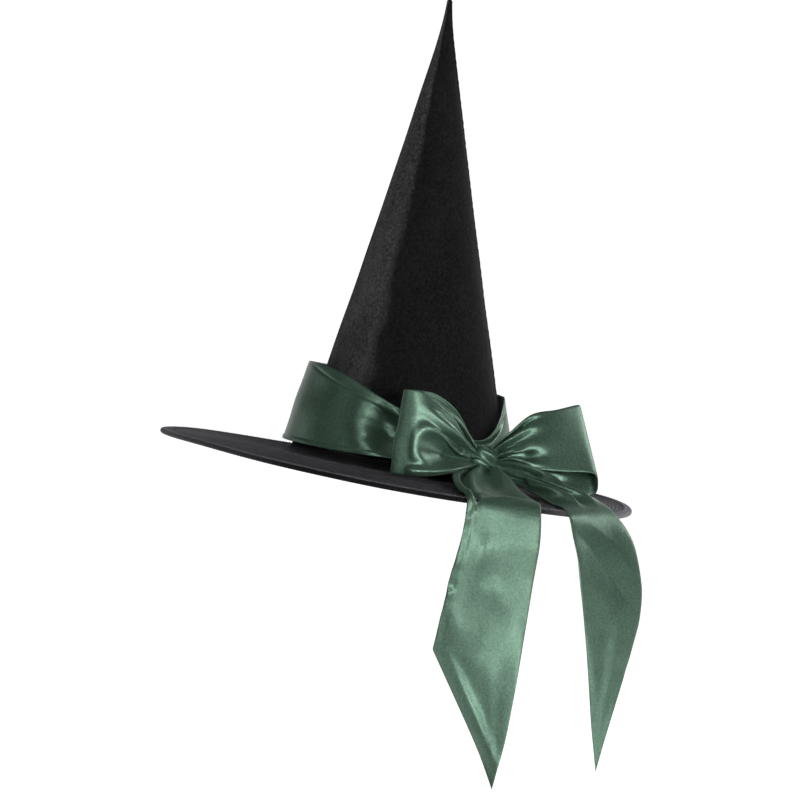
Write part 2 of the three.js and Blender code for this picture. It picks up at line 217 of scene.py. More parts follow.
def mesh_from_grid(name, grid, uv, ring=True, caps=()):
    """One smooth mesh from a [rows, columns] grid of points. Each row is a closed
    section, ring says that the last row joins the first, and caps are faces that close
    open ends. uv is one number for each row and one for each column, both with one more
    for the way back to the start."""
    rows, columns = grid.shape[:2]
    i = np.arange(rows if ring else rows - 1)[:, None]
    j = np.arange(columns)[None, :]
    i2, j2 = (i + 1) % rows, (j + 1) % columns
    quads = np.stack([i * columns + j, i2 * columns + j, i2 * columns + j2, i * columns + j2], -1)
    along = np.broadcast_to(np.stack([i, i + 1, i + 1, i], -1), quads.shape)
    across = np.broadcast_to(np.stack([j, j, j + 1, j + 1], -1), quads.shape)
    mesh = bpy.data.meshes.new(name)
    mesh.from_pydata(grid.reshape(-1, 3).tolist(), [], quads.reshape(-1, 4).tolist() + list(caps))
    places = np.zeros(len(mesh.loops) * 2, np.float32)
    places[: quads.size * 2] = np.stack([uv[0][along], uv[1][across]], -1).reshape(-1)
    mesh.uv_layers.new(name="cloth").data.foreach_set("uv", places)
    return finish_mesh(name, mesh)


def finish_mesh(name, mesh):
    mesh.polygons.foreach_set("use_smooth", np.ones(len(mesh.polygons), bool))
    mesh.validate()
    mesh.update()
    piece = bpy.data.objects.new(name, mesh)
    bpy.context.scene.collection.objects.link(piece)
    return piece


def face_out(piece):
    """Turns the faces of a closed mesh to point out."""
    mesh = piece.data
    points = np.zeros(len(mesh.vertices) * 3)
    mesh.vertices.foreach_get("co", points)
    points = points.reshape(-1, 3)
    mesh.calc_loop_triangles()
    index = np.zeros(len(mesh.loop_triangles) * 3, int)
    mesh.loop_triangles.foreach_get("vertices", index)
    a, b, c = (points[index.reshape(-1, 3)[:, n]] for n in range(3))
    if (a * np.cross(b, c)).sum() < 0:
        mesh.flip_normals()
    return piece


def cloth(name, middle, half, ring=False):
    """A thin closed cloth: a grid of points with half its thickness at each place.

    The two faces meet in folded edges at the grid's two sides, and an open strip is
    closed at both ends.
    """
    normal = grid_normals(middle, ring)
    half = np.broadcast_to(half, middle.shape[:2])[..., None]
    front, back = middle + normal * half, middle - normal * half
    section = np.concatenate([front, back[:, ::-1]], 1)
    step = np.linalg.norm(np.diff(middle, axis=0), axis=-1).mean(1)
    length = np.concatenate([[0], np.cumsum(step), [step.sum()]])
    width = np.linspace(0, RIBBON_WIDTH, middle.shape[1])
    across = np.concatenate([width, width[::-1], [0]])
    caps = [] if ring else end_caps(*middle.shape[:2])
    return face_out(mesh_from_grid(name, section, (length, across), ring, caps))


def end_caps(rows, columns):
    """The faces that close both ends of an open strip of cloth."""
    count = 2 * columns
    last_row = (rows - 1) * count
    faces = []
    for j in range(columns - 1):
        k = count - 1 - j
        faces.append([j, j + 1, k - 1, k])
        faces.append([last_row + corner for corner in (j, k, k - 1, j + 1)])
    return faces


def shell_ring(name, outline, place, steps, uv_scale=1.0):
    """A closed solid swept round the hat. outline(angles) gives [steps, n] radii and
    heights of a closed section. Its UV counts stitches round the hat and stitch rows
    across it."""
    angle = np.arange(steps) / steps * TAU
    radius, height = outline(angle[:, None])
    grid = place(radius, angle[:, None], height)
    around = np.arange(steps + 1) / steps * uv_scale
    rows = (np.append(radius[0], radius[0, 0]) - STITCH_FIRST) / STITCH_PITCH
    return face_out(mesh_from_grid(name, grid, (around, rows)))


# ------------------------------------------------------------------ materials


# Where a Mix node of colours has its sockets.
MIX_FIRST, MIX_SECOND, MIX_RESULT = 6, 7, 2


def material(name, **sockets):
    made = bpy.data.materials.new(name)
    made.use_nodes = True
    shader = made.node_tree.nodes["Principled BSDF"]
    for key, value in sockets.items():
        shader.inputs[key.replace("_", " ")].default_value = value
    return made, made.node_tree, shader


def node(tree, kind, inputs=(), **settings):
    made = tree.nodes.new("ShaderNode" + kind)
    for key, value in settings.items():
        setattr(made, key, value)
    for key, value in dict(inputs).items():
        if isinstance(value, bpy.types.NodeSocket):
            tree.links.new(value, made.inputs[key])
        else:
            made.inputs[key].default_value = value
    return made


def object_place(tree):
    return node(tree, "TexCoord").outputs["Object"]


def cloth_place(tree):
    return node(tree, "UVMap", uv_map="cloth").outputs[0]


def split(tree, vector):
    """The three numbers of a vector."""
    return node(tree, "SeparateXYZ", {"Vector": vector}).outputs


def noise(tree, scale, detail=3.0, stretch=(1, 1, 1), rough=0.5):
    place = node(tree, "Mapping", {"Vector": object_place(tree), "Scale": stretch})
    settings = {"Vector": place.outputs[0], "Scale": scale, "Detail": detail, "Roughness": rough}
    return node(tree, "TexNoise", settings).outputs["Fac"]


def ramp(tree, value, low, high):
    return mapped(tree, value, (low, high), (0.0, 1.0))


def mapped(tree, value, source, target, **settings):
    """value moved from the source range to the target range, and held inside it."""
    limits = {"Value": value, "From Min": source[0], "From Max": source[1]}
    limits.update({"To Min": target[0], "To Max": target[1]})
    return node(tree, "MapRange", limits, **settings).outputs[0]


def blend_colour(tree, share, first, second):
    """first where share is 0, second where it is 1: each a colour or a socket."""
    inputs = {"Factor": share}
    for socket, colour in ((MIX_FIRST, first), (MIX_SECOND, second)):
        inputs[socket] = colour if isinstance(colour, bpy.types.NodeSocket) else (*colour, 1)
    return node(tree, "Mix", inputs, data_type="RGBA").outputs[MIX_RESULT]


def math_node(tree, operation, a, b=0.0):
    return node(tree, "Math", {0: a, 1: b}, operation=operation).outputs[0]


def add(tree, a, b):
    return math_node(tree, "ADD", a, b)


def times(tree, a, b):
    return math_node(tree, "MULTIPLY", a, b)


def relief(tree, shader, layers):
    """Chains bumps: each layer is (height socket, distance in metres, strength)."""
    normal = None
    for height, distance, strength in layers:
        inputs = {"Height": height, "Distance": distance, "Strength": strength}
        if normal is not None:
            inputs["Normal"] = normal
        normal = node(tree, "Bump", inputs).outputs[0]
    tree.links.new(normal, shader.inputs["Normal"])


def velour(name, dark, light, sheen, stitches=False, with_painted_sheen=False):
    """Short pile: near black, a little lighter in crushed patches and speckles. The
    crown also has painted sheen: two long lighter stretches, one left of its crease and a
    weaker one at its back. The brim has painted sheen at its rear and a little at its front."""
    made, tree, shader = material(
        name,
        Roughness=0.95,
        Sheen_Weight=sheen,
        Sheen_Roughness=0.36,
        Sheen_Tint=(0.60, 0.60, 0.66, 1),
        Specular_IOR_Level=0.05,
    )
    crush = noise(tree, 26, 4, (1, 1, 0.55), 0.6)
    nap = noise(tree, 400, 4, rough=0.7)
    pile = noise(tree, 1600, 2)
    patches = ramp(tree, crush, 0.40, 0.62)
    speckle = ramp(tree, nap, 0.38, 0.66)
    if with_painted_sheen:
        # The crown: painted sheen in two lighter stretches, over random patches and speckles.
        colour = blend_colour(tree, painted_sheen_stretches(tree, crush, patches, speckle), dark, light)
    else:
        colour = blend_colour(tree, times(tree, add(tree, patches, speckle), 0.45), dark, light)
        # Painted sheen: the brim and its edge lighter grey at the rear and a little at the front.
        colour = blend_colour(tree, brim_painted_sheen(tree), colour, (0.190, 0.190, 0.200))
    tree.links.new(colour, shader.inputs["Base Color"])
    layers = [(crush, 0.006, 0.35), (nap, 0.0008, 0.5), (pile, 0.0004, 0.6)]
    if stitches:
        layers.append((stitch_pattern(tree), 0.0005, 0.5))
    relief(tree, shader, layers)
    return made


def brim_painted_sheen(tree):
    """Painted sheen on the brim: how much lighter grey it is at its rear, and a little at its front.
    """
    to_rear = split(tree, object_place(tree))[1]
    front = times(tree, ramp(tree, to_rear, -0.10, -0.20), 0.30)
    return add(tree, ramp(tree, to_rear, 0.12, 0.21), front)


def painted_sheen_stretches(tree, crush, patches, speckle):
    """How light the crown's pile is: painted sheen in one stretch left of its crease and a weaker
    one at its back, over random patches and speckles.
    """
    turn = add(tree, split(tree, cloth_place(tree))[0], times(tree, crush, 0.08))
    # Painted sheen: full left of the crease, half as strong at the back.
    first = times(tree, ramp(tree, turn, 0.045, 0.09), ramp(tree, turn, 0.227, 0.197))
    second = times(tree, ramp(tree, turn, 0.60, 0.66), ramp(tree, turn, 0.80, 0.72))
    painted_sheen_share = add(tree, first, times(tree, second, 0.5))
    mottle = add(tree, times(tree, patches, 0.34), 0.16)
    mottle = add(tree, mottle, times(tree, speckle, 0.56))
    rest = add(tree, times(tree, patches, 0.03), 0.01)
    rest = add(tree, rest, times(tree, speckle, 0.10))
    return add(tree, times(tree, painted_sheen_share, mottle), rest)


def stitch_pattern(tree):
    """Dashes in each topstitched row, from the cover's own unrolled measure: first
    number stitches round the hat, second the radius in stitch rows."""
    stitch, row, _ = split(tree, cloth_place(tree))
    dash = math_node(tree, "SINE", times(tree, stitch, TAU))
    groove = ramp(tree, math_node(tree, "COSINE", times(tree, row, TAU)), 0.86, 1.0)
    raised = add(tree, times(tree, dash, 0.5), 0.5)
    return times(tree, raised, groove)


def satin():
    """Dark green satin: a soft metallic lustre that follows the ribbon, a fine weave."""
    made, tree, shader = material(
        "green_satin",
        Metallic=0.62,
        Sheen_Weight=0.10,
        Sheen_Roughness=0.35,
        Sheen_Tint=(0.80, 1.0, 0.88, 1),
        Specular_IOR_Level=0.55,
        Anisotropic=0.55,
    )
    tangent = node(tree, "Tangent", direction_type="UV_MAP", uv_map="cloth")
    tree.links.new(tangent.outputs[0], shader.inputs["Tangent"])
    grain = noise(tree, 1100, 2)
    cloud = times(tree, ramp(tree, noise(tree, 22, 2), 0.3, 0.7), 0.30)
    fleck = times(tree, ramp(tree, noise(tree, 520, 2), 0.36, 0.64), 0.45)
    spread = times(tree, ramp(tree, grain, 0.3, 0.7), 0.25)
    tone = add(tree, add(tree, cloud, fleck), spread)
    colour = blend_colour(tree, tone, (0.050, 0.104, 0.070), (0.118, 0.206, 0.150))
    tree.links.new(colour, shader.inputs["Base Color"])
    tree.links.new(mapped(tree, grain, (0.3, 0.7), (0.27, 0.42)), shader.inputs["Roughness"])
    wave = {"Vector": cloth_place(tree), "Scale": 420.0, "Distortion": 0.6, "Detail": 1.0}
    weave = node(tree, "TexWave", wave, bands_direction="DIAGONAL").outputs["Fac"]
    crumple = noise(tree, 55, 3)
    relief(tree, shader, [(crumple, 0.0012, 0.30), (grain, 0.0002, 0.45), (weave, 0.0001, 0.25)])
    return made


def plain_cloth(name, colour, lighter, rib=0.0):
    """Felt, or where rib is given, a cloth with fine ribs across its height."""
    made, tree, shader = material(name, Roughness=0.9, Sheen_Weight=0.15, Specular_IOR_Level=0.2)
    fibres = noise(tree, 1500, 4)
    blend = blend_colour(tree, ramp(tree, fibres, 0.3, 0.7), colour, lighter)
    tree.links.new(blend, shader.inputs["Base Color"])
    layers = [(fibres, 0.0006, 0.5)]
    if rib:
        wave = {"Vector": object_place(tree), "Scale": rib, "Distortion": 0.4}
        ribs = node(tree, "TexWave", wave, bands_direction="Z")
        layers.append((ribs.outputs["Fac"], 0.0004, 0.6))
    relief(tree, shader, layers)
    return made


def thread_material(name, colour, lighter):
    made, tree, shader = material(name, Roughness=0.55, Sheen_Weight=0.3)
    fibres = noise(tree, 2500, 3, (1, 1, 3))
    tree.links.new(blend_colour(tree, fibres, colour, lighter), shader.inputs["Base Color"])
    relief(tree, shader, [(fibres, 0.0003, 0.5)])
    return made


def steel():
    made, tree, shader = material("wire_steel", Metallic=1.0)
    drawn = noise(tree, 900, 2, (1, 1, 0.1))
    colour = blend_colour(tree, drawn, (0.38, 0.38, 0.39), (0.55, 0.55, 0.56))
    tree.links.new(colour, shader.inputs["Base Color"])
    tree.links.new(mapped(tree, drawn, (0.0, 1.0), (0.28, 0.5)), shader.inputs["Roughness"])
    return made


# ------------------------------------------------------------------ joining pieces


def place_piece(piece, finish, replaces, body="hat"):
    """Gives a piece its finish, its body (None leaves it without one) and the
    CAD nodes that it stands in for."""
    piece.data.materials.clear()
    piece.data.materials.append(finish)
    if body:
        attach(piece, body)
    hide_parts(*replaces)


def repaint(name, finish):
    """A carried-over CAD piece gets a finish of its own."""
    cad = frame["nodes"][name]
    cad.data.materials.clear()
    cad.data.materials.append(finish)


# ------------------------------------------------------------------ crown


CREASE_ANGLE = math.radians(62)


def crown_surface(angle, height):
    """The crown's skin: a soft crease down the left front, a back seam, slack cloth."""
    radius = crown_radius(height)
    low = smooth(0, 0.06, height)
    turn = turned(angle, CREASE_ANGLE)
    crease = 0.030 * bump(turn, 0, 0.16) - 0.022 * bump(turn, -0.5, 0.30)
    crease = crease - 0.010 * bump(turn, 0.6, 0.4)
    slack = 0.0007 * wander(2 * np.sin(angle) + 2, 1.6 * height / 0.1, 4, 3)
    back = turned(angle, math.pi) * radius
    pucker = 1 + 0.35 * np.sin(height * 900) * np.sin(height * 173)
    seam = -0.0011 * bump(back, 0, 0.0011) + 0.0007 * pucker * bump(np.abs(back), 0.0036, 0.0022)
    swell = low * (radius * crease + slack * np.minimum(1, radius / 0.03))
    return radius + swell + seam * np.minimum(1, radius / 0.01)


def crown_heights(count):
    """Ring heights from the foot to just under the tip, closer towards the tip."""
    share = 1 - (1 - np.linspace(0, 1, count)) ** 1.25
    return CROWN_FOOT + (CROWN_LAST_RING - CROWN_FOOT) * share


def build_crown(velvet, lining):
    build_crown_cover(velvet)
    build_crown_stiffening(lining)


def build_crown_cover(velvet):
    """Up the outside, over the rounded tip and down the inside, as one closed skin."""
    steps = 288
    angle = np.arange(steps)[:, None] / steps * TAU
    height = crown_heights(230)
    outer = crown_surface(angle, height[None, :])
    cap = [(0.86, 0.0008), (0.55, 0.0019), (0.12, 0.0024)]
    inner_height = np.linspace(CROWN_HOLLOW_TOP, CROWN_FOOT, 60)
    inner = np.maximum(crown_radius(inner_height) - COVER, 0.0008) + 0 * angle
    radius = np.concatenate([outer] + [outer[:, -1:] * share for share, _ in cap] + [inner], 1)
    heights = np.concatenate([height, [height[-1] + rise for _, rise in cap], inner_height])
    grid = on_crown(radius, angle, heights[None, :])
    around = np.arange(steps + 1) / steps
    down = np.append(heights, heights[0])
    skin = face_out(mesh_from_grid("crown_velour", grid, (around, down)))
    place_piece(skin, velvet, ["crown_cover"])


def build_crown_stiffening(lining):
    """The foam cone inside the cover, nearly closed at its top."""
    inside = np.linspace(-0.0022, FOAM_TOP, 70)
    closing = inside[::-1] - 0.003 * (inside[::-1] > 0.39)
    outer, inner = crown_radius(inside) - COVER - PIECE_GAP, (crown_radius(inside) - WALL)[::-1]
    radius = np.maximum(np.concatenate([outer, inner]), 0.0006)
    height = np.concatenate([inside, closing])

    def outline(angle):
        return radius + 0 * angle, height + 0 * angle

    shell = shell_ring("crown_stiffening_foam", outline, on_crown, 128)
    place_piece(shell, lining, ["crown_stiffener"])


# ------------------------------------------------------------------ brim


def stitch_rows(radius):
    """Height of the quilted brim: soft ridges between grooves at the topstitching."""
    inside = smooth(STITCH_FIRST - 0.001, STITCH_FIRST, radius)
    inside = inside * (1 - smooth(STITCH_LAST, STITCH_LAST + 0.001, radius))
    wave = np.abs(np.sin((radius - STITCH_FIRST) / STITCH_PITCH * math.pi))
    return inside * (0.0008 * (wave**0.7 - 1) + 0.0003)


def brim_waves(radius, angle):
    """Slight unevenness of the stiffened cloth, growing to the edge."""
    return 0.0008 * brim_share(radius) * wander(2.2 * np.sin(angle), 2.2 * np.cos(angle), 9)


def brim_place(radius, angle, height):
    return on_hat(radius, angle, height + brim_waves(radius, angle))


def neck_curve(offset):
    """Radii and heights of the round neck where the brim's top rises to the crown."""
    turn = np.radians(np.linspace(0, 80, 12))
    reach = NECK_FILLET - offset
    return NECK_FOOT - reach * np.sin(turn), 0.0005 + NECK_FILLET - reach * np.cos(turn)


def build_brim(velvet):
    neck, low_neck = neck_curve(0.001), neck_curve(0.00035)
    build_brim_cover("brim_top", 1, neck, low_neck, velvet)
    foot = np.array([NECK_FOOT, 0.104, crown_radius(0) + PIECE_GAP])
    neck, low_neck = (foot, np.full(3, BRIM_SKIN)), (foot, np.full(3, BRIM_CORE_FACE))
    build_brim_cover("brim_under", -1, neck, low_neck, velvet)


def build_brim_cover(name, side, neck, low_neck, velvet):
    """One cover: out from the neck over the quilted rows and back along the core. Each
    neck is the radii and heights of its outer or inner face."""
    edge = BRIM_RADIUS - 2 * BINDING_RADIUS
    flat = np.linspace(NECK_FOOT, edge, 190)[::-1]
    core = np.array([NECK_FOOT, edge])
    radius = np.concatenate([flat, neck[0][1:], low_neck[0][:0:-1], core])
    rows = BRIM_SKIN + stitch_rows(flat)
    height = np.concatenate([rows, neck[1][1:], low_neck[1][:0:-1], np.full(2, BRIM_CORE_FACE)])

    def outline(angle):
        return radius + 0 * angle, side * height + 0 * angle

    stitches = TAU * STITCH_COUNTED_AT / STITCH_LENGTH
    skin = shell_ring(name + "_velour", outline, brim_place, 540, stitches)
    place_piece(skin, velvet, [name + "_cover"])


def build_edge(velvet, thread):
    """The binding folded over the brim's edge, and the row of stitches that holds it."""
    centre = BRIM_RADIUS - BINDING_RADIUS
    stitched_at = centre - BINDING_LIP + 0.0015
    turn = np.linspace(math.pi / 2, -math.pi / 2, 17)
    lip = np.linspace(centre - BINDING_LIP, centre, 9)[:-1]
    thick = BINDING_RADIUS - 0.0006
    rounded = BINDING_RADIUS - 0.0005 * (1 - smooth(0, 0.001, lip - lip[0]))
    outer_h = np.concatenate([rounded, BINDING_RADIUS * np.sin(turn), -rounded[::-1]])
    outer_r = np.concatenate([lip, centre + BINDING_RADIUS * np.cos(turn), lip[::-1]])
    inner_r = np.concatenate([lip, centre + thick * np.cos(turn), lip[::-1]])[::-1]
    inner_h = np.concatenate([np.full(8, thick), thick * np.sin(turn), np.full(8, -thick)])[::-1]
    radius, height = np.concatenate([outer_r, inner_r]), np.concatenate([outer_h, inner_h])

    def outline(angle):
        pull = 0.00016 * np.sin(angle * 410) * bump(radius, stitched_at, 0.0012)
        return radius + 0 * angle, height * (1 - pull / BINDING_RADIUS)

    binding = shell_ring("edge_binding_fold", outline, brim_place, 540)
    place_piece(binding, velvet, ["brim_edge_binding"])
    stitches = stitch_ring("edge_stitch_row", stitched_at, BINDING_RADIUS + 0.0001)
    place_piece(stitches, thread, ["brim_edge_stitching"])


def stitch_ring(name, radius, height):
    """A row of separate little stitches, each a short thread that dips in at both ends."""
    count = int(TAU * radius / EDGE_STITCH_LENGTH)
    sides, cuts = 6, 5
    share = np.linspace(0, 1, cuts)
    dip = THREAD_RADIUS * (1.1 * np.sin(share * math.pi) ** 0.5 - 0.4)
    thin = THREAD_RADIUS * (0.35 + 0.65 * np.sin(share * math.pi) ** 0.4)
    turn = np.arange(sides) / sides * TAU
    r = radius + thin[:, None] * np.cos(turn)
    h = height + dip[:, None] + thin[:, None] * np.sin(turn)
    points, faces = [], []
    for i in range(count):
        angle = (i + 0.12 + 0.76 * share) / count * TAU
        base = len(points)
        points.extend(brim_place(r, angle[:, None], h).reshape(-1, 3).tolist())
        faces.extend([base + corner for corner in face] for face in thread_faces(cuts, sides))
    mesh = bpy.data.meshes.new(name)
    mesh.from_pydata(points, [], faces)
    return face_out(finish_mesh(name, mesh))


def thread_faces(cuts, sides):
    """The faces of one short closed thread of so many rings of so many corners."""
    faces = []
    for a in range(0, (cuts - 1) * sides, sides):
        for k in range(sides):
            k2 = (k + 1) % sides
            faces.append([a + k, a + k2, a + sides + k2, a + sides + k])
    return faces + [list(range(sides))[::-1], list(range((cuts - 1) * sides, cuts * sides))]


# ------------------------------------------------------------------ inside the opening


def build_inside(tape, felt, label_cloth):
    """The sweatband and label, and the CAD pieces that are kept and given a finish."""
    low, high = 0.001, 0.033
    height = np.linspace(low, high, 20)
    wall = crown_radius(height) - WALL - PIECE_GAP
    rounding = 0.0005 * (bump(height, low, 0.001) + bump(height, high, 0.001))
    outline_r = np.concatenate([wall, (wall - COVER + rounding)[::-1]])
    outline_h = np.concatenate([height, height[::-1]])

    def outline(angle):
        ease = 0.0003 * np.sin(angle * 23) * smooth(0.012, high, outline_h)
        return outline_r - np.abs(ease), outline_h + 0 * angle

    band = shell_ring("sweatband_tape", outline, on_crown, 240)
    place_piece(band, tape, ["sweatband"])
    repaint("crown_seam_allowance", felt)
    repaint("brim_core", felt)
    repaint("care_label", label_cloth)
    build_label(label_cloth)


def build_label(label_cloth):
    """A small blank woven label, a little curled, held along its top edge."""
    low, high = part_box("care_label")
    across = np.linspace(0.02, 0.98, 15)
    down = np.linspace(0, 1, 13)
    x = low.x + (high.x - low.x) * across[None, :]
    z = high.z - (high.z - low.z) * down[:, None]
    curl = 0.0014 * down[:, None] ** 2 * (2 * across[None, :] - 1) ** 2
    y = (low.y + high.y) / 2 - curl
    middle = np.stack(np.broadcast_arrays(x, y, z), -1)
    label = cloth("label_cloth", middle, 0.00022)
    place_piece(label, label_cloth, ["care_label"], body="label")


# ------------------------------------------------------------------ sash


def gather(angle):
    """How far the sash is drawn in: 1 at the knot, 0 from some way off on both sides."""
    away = turned(angle, KNOT_ANGLE)
    reach = np.where(away < 0, math.radians(100), math.radians(50))
    share = np.abs(away) / reach
    return np.where(share < 1, np.cos(share * math.pi / 2) ** 2, 0.0)


def sash_pleats(angle, s, width):
    """Pleats that take up the ribbon's spare width, tall near the knot."""
    away = turned(angle, KNOT_ANGLE)
    squeeze = RIBBON_WIDTH * 0.93 / width
    slope = np.sqrt(np.maximum(2 * (squeeze**2 - 1), 0))
    pleats = 3.0
    phase = 0.25 * np.sin(2 * away) + 0.12 * np.sin(7 * s * math.pi)
    fold = np.sin(TAU * (pleats * (s + 0.05 * np.sin(TAU * s)) + phase))
    near = np.exp(-np.abs(away) / 0.42)
    swell = 0.5 * slope * width / (TAU * pleats) * fold * (0.05 + 0.95 * near)
    return swell * smooth(0.0, 0.08, s) * smooth(0.0, 0.08, 1 - s)


def sash_dimple(angle, s):
    """The soft round dent before the front loop, with a raised rim on its far side."""
    dx, dy = (angle - math.radians(81)) / 0.16, (s - 0.47) / 0.27
    away = np.hypot(dx, dy) * (1 + 0.12 * np.sin(2 * np.arctan2(dy, dx) + 0.8))
    rim = 0.0034 * bump(away, 1.9, 0.75) * smooth(1.0, -1.0, dx)
    return rim - 0.0090 * (1 - smooth(0.1, 1.7, away))


def sash_edges(angle, s, width):
    """A crease under the top edge at the left front, and a lip along the lower edge."""
    from_top, from_bottom = (1 - s) * width, s * width
    crease_line = 0.001 + 0.009 * smooth(math.radians(8), math.radians(48), angle)
    shown = smooth(0.1, 0.4, angle) * (1 - smooth(1.0, 1.5, angle))
    lip = 0.0009 * (1 - smooth(0.0030, 0.0042, from_bottom))
    return lip - 0.0008 * bump(from_top, crease_line, 0.0010) * shown


def build_sash(finish):
    rows, columns = 620, 70
    angle = np.arange(rows)[:, None] / rows * TAU
    s = np.linspace(0, 1, columns)[None, :]
    pull = gather(angle)
    top = SASH_TOP + (SASH_TOP_AT_KNOT - SASH_TOP) * pull
    bottom = SASH_BOTTOM + (SASH_BOTTOM_AT_KNOT - SASH_BOTTOM) * pull
    width = top - bottom
    height = bottom + width * s
    stand = 0.0073 + 0.008 * ((1 + np.cos(angle)) / 2) ** 1.5 - 0.0025 * pull
    ease = wander(2.2 * np.sin(angle), 2.2 * np.cos(angle) + 2.5 * s, 21) * np.sin(s * math.pi)
    shape = sash_pleats(angle, s, width) + sash_edges(angle, s, width) + sash_dimple(angle, s)
    foot = crown_radius(height)
    radius = np.maximum(foot + stand + shape + 0.0010 * ease, foot + 0.0016)
    sag = 0.0012 * np.sin(angle * 3 + 1) * s
    middle = on_crown(radius, angle, height + sag)
    half = 0.0006 * np.sqrt(1 - np.abs(2 * s - 1) ** 12)
    band = cloth("satin_sash", middle, half, ring=True)
    place_piece(band, finish, ["hat_band"])


# ------------------------------------------------------------------ bow

K_LOW, K_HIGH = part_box("bow_knot")
KNOT = np.array((K_LOW + K_HIGH) / 2)
ASIDE = np.array([math.cos(KNOT_ANGLE), math.sin(KNOT_ANGLE), 0.0])
OUTWARD = np.array([math.sin(KNOT_ANGLE), -math.cos(KNOT_ANGLE), 0.0])


def pleated(middle, pleats, seed, keep=1.0, reach=0.92):
    """Gathers a loop: where it is narrower than its cloth, the spare width stands up in
    pleats that run out from the knot and die away before the tip."""
    rows, columns = middle.shape[:2]
    s = np.linspace(0, 1, columns)[None, :]
    width = np.linalg.norm(middle[:, -1] - middle[:, 0], axis=-1)[:, None]
    squeeze = RIBBON_WIDTH * keep / width
    slope = np.sqrt(np.maximum(2 * (squeeze**2 - 1), 0))
    shift = np.random.default_rng(seed).uniform(0, 1)
    along = np.linspace(0, 1, rows)[:, None]
    from_knot = 1 - np.abs(2 * along - 1)
    fade = 1 - smooth(0.30 * reach, reach, from_knot)
    phase = pleats * (s + 0.045 * np.sin(TAU * (1.3 * s + shift))) + 0.10 * np.sin(5 * along + 4 * s)
    fold = np.sin(TAU * (phase + shift))
    height = slope * width / (TAU * pleats) * fold * fade
    ends = smooth(-0.04, 0.09, s) * smooth(-0.04, 0.09, 1 - s)
    return middle + grid_normals(middle, False) * (height * ends)[..., None]


def between(edges, rows, columns):
    """A ruled strip through a list of [one edge, other edge] points in millimetres."""
    line = spline(np.array(edges, float) / 1000, rows)
    s = np.linspace(0, 1, columns)[None, :, None]
    return line[:, None, 0] * (1 - s) + line[:, None, 1] * s


def ribbon_half(columns, thickness=0.0007):
    """Half the ribbon's thickness across its width, thinner at its two edges."""
    s = np.linspace(0, 1, columns)[None, :]
    return thickness * np.sqrt(np.maximum(1 - np.abs(2 * s - 1) ** 14, 0.02))


def pushed(middle, height):
    """The strip moved along its own normals."""
    return middle + grid_normals(middle, False) * height[..., None]


# Each row: [lower edge point, upper edge point], X, Y, Z in millimetres, from the knot
# out along the outer panel, round the tip and back along the inner panel.
FRONT_LOOP = [
    [(82, 66, 8), (82, 66, 23)],
    [(103, 57, 8), (98, 58.5, 31)],
    [(128, 42, 4), (121, 45, 54)],
    [(144, 17, 2), (138, 21.5, 76)],
    [(145, 1, 3.5), (141, 9.5, 79.5)],
    [(137, -9.5, 5.5), (133.5, 3, 79)],
    [(111, 22, 12), (111, 29, 75)],
    [(95, 44, 14), (98, 50, 58)],
    [(80, 64, 10), (83, 65, 29)],
]
REAR_LOOP = [
    [(70, 82, 9), (70, 82, 25)],
    [(78, 98, 12), (72, 96, 38)],
    [(80, 118, 6), (62, 116, 54)],
    [(70, 144, 3), (49, 139, 58)],
    [(56, 171, 1), (29, 157.5, 61.5)],
    [(50, 176, -9), (21, 159, 59)],
    [(44, 171, -19), (18, 154, 52)],
    [(48, 146, -17), (29, 134, 46)],
    [(58, 114, -7), (47, 108, 36)],
    [(67, 85, 7), (66, 84, 22)],
]


def build_front_loop(finish):
    """s runs from the lower edge to the upper one, a is 0 to 1 along the outer panel and
    1 to 2 along the inner one."""
    rows, columns = 190, 64
    middle = between(FRONT_LOOP, rows, columns)
    s = np.linspace(0, 1, columns)[None, :]
    a = np.linspace(0, 2, rows)[:, None]
    middle = pleated(middle, 3.5, 11, 0.95, 0.10 + 0.82 * smooth(0.42, 0.64, s))
    outer = 1 - smooth(0.86, 1.0, a)
    from_hollow = np.sqrt(((a - 0.42) / 0.40) ** 2 + ((s - 0.36) / 0.28) ** 2 + 0.02)
    hollow = -0.0070 * (1 - from_hollow + np.hypot(1 - from_hollow, 0.12))
    behind = np.hypot((2 - a - 0.42) / 0.52, (s - 0.34) / 0.40)
    give = -0.0050 * (1 - smooth(0.1, 1.0, behind)) * smooth(1.0, 1.2, a)
    above = smooth(0.28, 0.55, s + 0.35 * a)
    ridge = 0.0030 * bump(from_hollow, 1.12, 0.24) * above
    crest = 0.0034 * bump(a, 0.58, 0.22) * bump(s, 0.80, 0.12)
    gully = -0.0038 * bump(a, 0.36, 0.20) * bump(s, 0.66, 0.09)
    roll = 0.0042 * bump(s, 0.06, 0.06) * smooth(0.05, 0.3, a)
    middle = pushed(middle, give - (hollow + ridge + crest + gully + roll) * outer)
    piece = cloth("satin_loop_front", middle, ribbon_half(columns))
    place_piece(piece, finish, ["bow_loop_front"], body=None)
    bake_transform(piece)


def build_rear_loop(finish):
    """s and a as in the front loop."""
    rows, columns = 190, 64
    middle = pleated(between(REAR_LOOP, rows, columns), 3.5, 5, 0.95, 0.62)
    s = np.linspace(0, 1, columns)[None, :]
    a = np.linspace(0, 2, rows)[:, None]
    outer = 1 - smooth(0.84, 1.0, a)
    pocket = -0.0085 * bump(a, 0.36, 0.13) * bump(s, 0.27, 0.13)
    swell = 0.0012 * bump(a, 0.62, 0.26) * bump(s, 0.50, 0.30)
    crease = 0.0026 * bump(s, 0.60 - 0.25 * a, 0.07) * bump(a, 0.20, 0.14)
    middle = pushed(middle, (pocket + swell + crease) * outer)
    piece = cloth("satin_loop_rear", middle, ribbon_half(columns))
    place_piece(piece, finish, ["bow_loop_rear"], body=None)
    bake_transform(piece)


KNOT_SLANT = math.radians(38)


